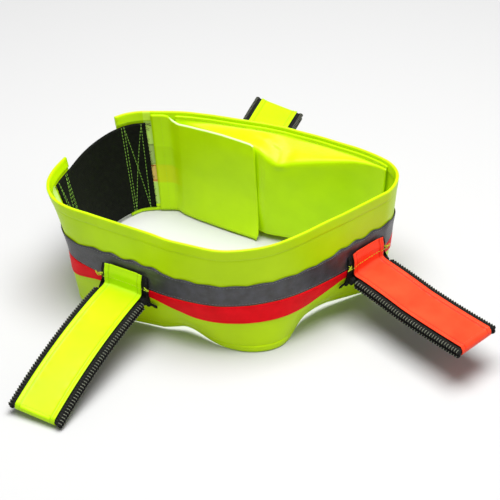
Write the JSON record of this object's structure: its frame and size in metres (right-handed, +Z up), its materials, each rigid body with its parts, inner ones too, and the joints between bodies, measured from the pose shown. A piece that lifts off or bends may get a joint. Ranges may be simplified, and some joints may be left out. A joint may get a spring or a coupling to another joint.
{
  "type": "inflatable buoyancy belt",
  "caption": "High-visibility inflatable buoyancy belt in its stowed ring shape: taped coated-fabric band, elastic back, webbing grab tabs, inner pouch with flap and folded bladder.",
  "frame": {"origin": "centre of the bounding box at the level the band's foot edge stands on", "axes": "+Z up along the band's height, +Y from the wearer's front-left wall across the ring to the pouch wall, +X from the elastic at the wearer's back towards the turn beside the orange tab"},
  "size_m": [0.4252, 0.4832, 0.1164],
  "materials": {
    "yellow_fabric": "coated, satin",
    "orange_fabric": "coated, satin",
    "grey_tape": "retroreflective",
    "orange_tape": "satin",
    "elastic": "knitted, matt",
    "webbing": "woven, ribbed",
    "yellow_thread": "matt",
    "green_thread": "matt",
    "bladder": "coated, smooth",
    "black_plastic": "matt",
    "red_plastic": "matt"
  },
  "bodies": {
    "rear_belt": {"rear_band": "yellow_fabric", "rear_orange_tape": "orange_tape", "rear_reflective_tape": "grey_tape", "rear_rim_stitching": "yellow_thread", "rear_foot_stitching": "yellow_thread", "back_elastic": "elastic", "rear_elastic_stitching": "green_thread", "back_tab_root": "webbing", "back_tab_root_cover": "yellow_fabric", "back_tab_bar_tack": "yellow_thread", "pouch_panel": "yellow_fabric", "pouch_seam_stitching": "yellow_thread", "flap_sewn_edge": "yellow_fabric", "flap_stitching": "yellow_thread", "folded_bladder": "bladder", "oral_inflation_tube": "black_plastic", "oral_tube_cap": "red_plastic"},
    "front_belt": {"front_band": "yellow_fabric", "front_orange_tape": "orange_tape", "front_reflective_tape": "grey_tape", "front_rim_stitching": "yellow_thread", "front_foot_stitching": "yellow_thread", "front_elastic_stitching": "green_thread", "front_tab_root": "webbing", "front_tab_root_cover": "orange_fabric", "front_tab_bar_tack": "yellow_thread", "left_tab_root": "webbing", "left_tab_root_cover": "yellow_fabric", "left_tab_bar_tack": "yellow_thread"},
    "front_tab": {"front_tab_webbing": "webbing", "front_tab_cover": "orange_fabric", "front_tab_stitching": "yellow_thread"},
    "left_tab": {"left_tab_webbing": "webbing", "left_tab_cover": "yellow_fabric", "left_tab_stitching": "yellow_thread"},
    "back_tab": {"back_tab_webbing": "webbing", "back_tab_cover": "yellow_fabric", "back_tab_stitching": "yellow_thread"},
    "flap": {"pouch_flap": "yellow_fabric"}
  },
  "joints": [
    {"name": "band_turn", "type": "hinge", "parent": "rear_belt", "child": "front_belt", "pos_m": [0.13356, -0.02108, 0.1159], "axis": [0, 0, 1], "range_deg": [0, 12], "stiffness_Nm_per_rad": 2, "deforming": ["back_elastic"]},
    {"name": "front_tab_fold", "type": "hinge", "parent": "front_belt", "child": "front_tab", "pos_m": [0.10537, -0.06688, 0.04375], "axis": [-0.7045, -0.7097, 0], "range_deg": [-60, 65], "stiffness_Nm_per_rad": 0.6, "springref_deg": 2.86},
    {"name": "left_tab_fold", "type": "hinge", "parent": "front_belt", "child": "left_tab", "pos_m": [-0.1197, -0.10427, 0.04399], "axis": [-0.8729, 0.4879, 0], "range_deg": [-60, 65], "stiffness_Nm_per_rad": 0.6, "springref_deg": 2.86},
    {"name": "back_tab_fold", "type": "hinge", "parent": "rear_belt", "child": "back_tab", "pos_m": [-0.01356, 0.09339, 0.04503], "axis": [0.9565, -0.2918, 0], "range_deg": [-60, 65], "stiffness_Nm_per_rad": 0.6, "springref_deg": 2.86},
    {"name": "flap_hinge", "type": "hinge", "parent": "rear_belt", "child": "flap", "pos_m": [-0.08533, 0.09775, 0.05803], "axis": [0, 0, -1], "range_deg": [0, 75]}
  ]
}
